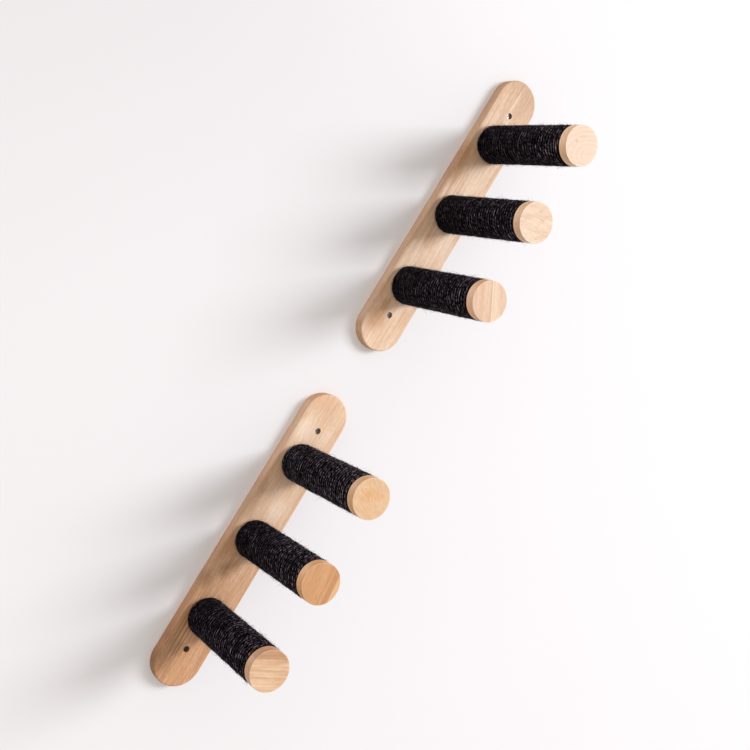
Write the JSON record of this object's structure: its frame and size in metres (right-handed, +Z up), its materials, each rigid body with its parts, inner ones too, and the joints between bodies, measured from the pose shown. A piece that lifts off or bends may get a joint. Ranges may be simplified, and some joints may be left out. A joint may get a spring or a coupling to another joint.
{
  "type": "cat climbing wall",
  "caption": "Wall-mounted cat climber: tilted round-ended wooden boards carrying straight pegs wound with black sisal rope and closed with wooden caps.",
  "frame": {"origin": "middle of the lower board's back, on the wall plane", "axes": "+Z up, +X to the right as seen from the room, +Y into the wall; the pegs stand out along -Y"},
  "size_m": [0.5458, 0.2368, 0.7744],
  "materials": {
    "board_wood": "satin oiled plank",
    "cap_wood": "satin oiled plank",
    "core_wood": "plain turned dowel",
    "sisal_rope": "dyed twisted fibre rope",
    "screw_steel": "bright zinc plate",
    "bolt_steel": "bright zinc plate",
    "insert_zinc": "plain zinc alloy"
  },
  "bodies": {
    "root": {"lower_backboard": "board_wood", "lower_core_top": "core_wood", "lower_sisal_top": "sisal_rope", "lower_cap_top": "cap_wood", "lower_cap_pin_top": "core_wood", "lower_insert_top": "insert_zinc", "lower_bolt_top": "bolt_steel", "lower_core_middle": "core_wood", "lower_sisal_middle": "sisal_rope", "lower_cap_middle": "cap_wood", "lower_cap_pin_middle": "core_wood", "lower_insert_middle": "insert_zinc", "lower_bolt_middle": "bolt_steel", "lower_core_bottom": "core_wood", "lower_sisal_bottom": "sisal_rope", "lower_cap_bottom": "cap_wood", "lower_cap_pin_bottom": "core_wood", "lower_insert_bottom": "insert_zinc", "lower_bolt_bottom": "bolt_steel", "lower_wall_screw_top": "screw_steel", "lower_wall_screw_bottom": "screw_steel", "upper_backboard": "board_wood", "upper_core_top": "core_wood", "upper_sisal_top": "sisal_rope", "upper_cap_top": "cap_wood", "upper_cap_pin_top": "core_wood", "upper_insert_top": "insert_zinc", "upper_bolt_top": "bolt_steel", "upper_core_middle": "core_wood", "upper_sisal_middle": "sisal_rope", "upper_cap_middle": "cap_wood", "upper_cap_pin_middle": "core_wood", "upper_insert_middle": "insert_zinc", "upper_bolt_middle": "bolt_steel", "upper_core_bottom": "core_wood", "upper_sisal_bottom": "sisal_rope", "upper_cap_bottom": "cap_wood", "upper_cap_pin_bottom": "core_wood", "upper_insert_bottom": "insert_zinc", "upper_bolt_bottom": "bolt_steel", "upper_wall_screw_top": "screw_steel", "upper_wall_screw_bottom": "screw_steel"}
  },
  "joints": []
}
